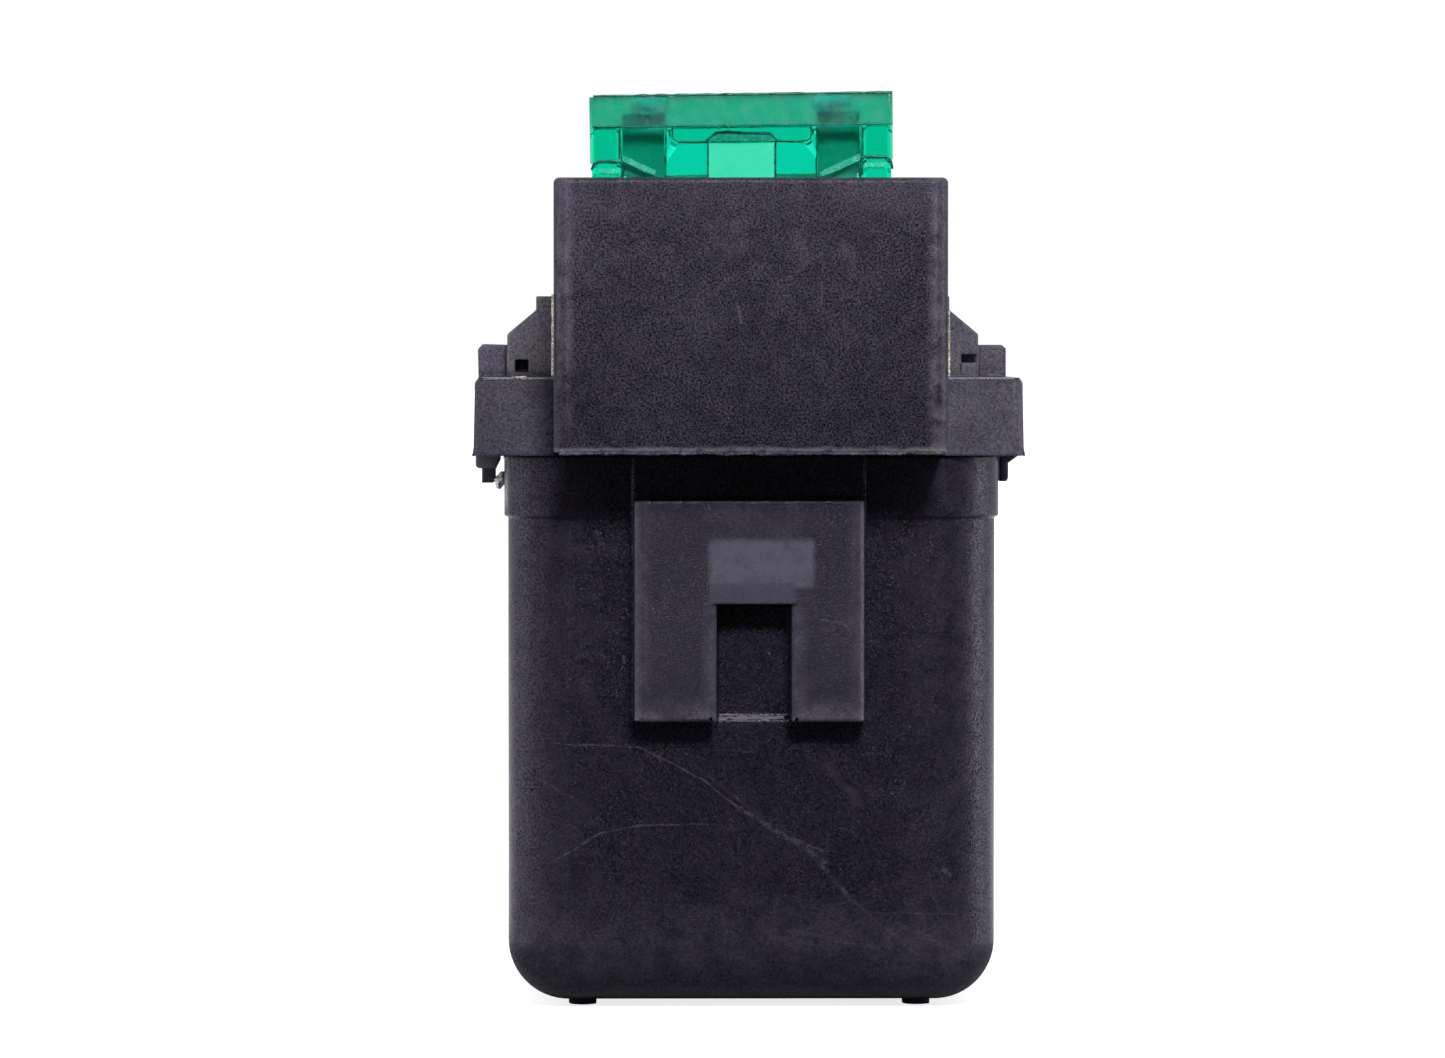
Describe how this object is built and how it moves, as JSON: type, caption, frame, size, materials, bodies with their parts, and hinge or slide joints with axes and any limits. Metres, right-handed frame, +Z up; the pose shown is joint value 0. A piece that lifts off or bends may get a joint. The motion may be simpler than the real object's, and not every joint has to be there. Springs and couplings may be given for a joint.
{
  "type": "plug-in starter relay",
  "caption": "Plug-in high-current relay: moulded can with a mounting loop, header with threaded studs, plug socket and a pull-out blade fuse.",
  "frame": {"origin": "centre of the footprint, on the plane the four feet stand on", "axes": "+Z up along the plunger's travel, -Y out of the face with the mounting loop and the tower, +X to the right seen from that face"},
  "size_m": [0.0354, 0.0406, 0.0585],
  "materials": {
    "case_plastic": "black moulded plastic, satin, scuffed and scratched",
    "header_plastic": "black moulded plastic, dusty and slightly bleached",
    "seal_rubber": "dark seal rubber",
    "fuse_green": "translucent green plastic",
    "fuse_metal": "dull tinned zinc",
    "bobbin_plastic": "natural nylon",
    "enamelled_copper": "enamelled copper wire",
    "yoke_steel": "zinc-plated steel",
    "plunger_steel": "turned steel",
    "rod_brass": "turned brass",
    "spring_steel": "spring steel",
    "insulator": "brown phenolic",
    "contact_copper": "bare copper",
    "stud_plating": "copper-flashed steel, dulled",
    "nut_plating": "bright zinc plating",
    "tinned_brass": "tin-plated brass",
    "diode_epoxy": "black epoxy"
  },
  "bodies": {
    "housing": {"case_can": "case_plastic", "header": "header_plastic", "seal_gasket": "seal_rubber", "bobbin": "bobbin_plastic", "coil_winding": "enamelled_copper", "yoke_frame": "yoke_steel", "yoke_plate": "yoke_steel", "fixed_core": "yoke_steel", "stop_pad": "seal_rubber", "return_spring": "spring_steel", "battery_stud": "stud_plating", "motor_stud": "stud_plating", "stud_washers": "nut_plating", "stud_nuts": "nut_plating", "input_bus_bar": "contact_copper", "output_bus_bar": "contact_copper", "fuse_clip_input": "tinned_brass", "fuse_clip_output": "tinned_brass", "power_pins": "tinned_brass", "coil_pins": "tinned_brass", "coil_leads": "enamelled_copper", "suppression_diode": "diode_epoxy"},
    "armature": {"plunger": "plunger_steel", "plunger_rod": "rod_brass", "spring_seat": "spring_steel", "retainer_clip": "spring_steel", "contact_spring": "spring_steel"},
    "bridge": {"contact_bridge": "contact_copper", "insulating_washer": "insulator", "insulating_bush": "insulator"},
    "fuse": {"fuse_body": "fuse_green", "fuse_element": "fuse_metal"}
  },
  "joints": [
    {"name": "plunger_lift", "type": "slide", "parent": "housing", "child": "armature", "axis": [0, 0, 1], "range_m": [0, 0.0023], "deforming": ["return_spring"]},
    {"name": "bridge_lag", "type": "slide", "parent": "armature", "child": "bridge", "axis": [0, 0, 1], "range_m": [-0.0008, 0], "deforming": ["contact_spring"]},
    {"name": "fuse_pull", "type": "slide", "parent": "housing", "child": "fuse", "axis": [0, 0, 1], "range_m": [0, 0.02]}
  ],
  "couplings": [
    {"joint": "bridge_lag", "follows": "plunger_lift", "ratio": -0.3478}
  ]
}
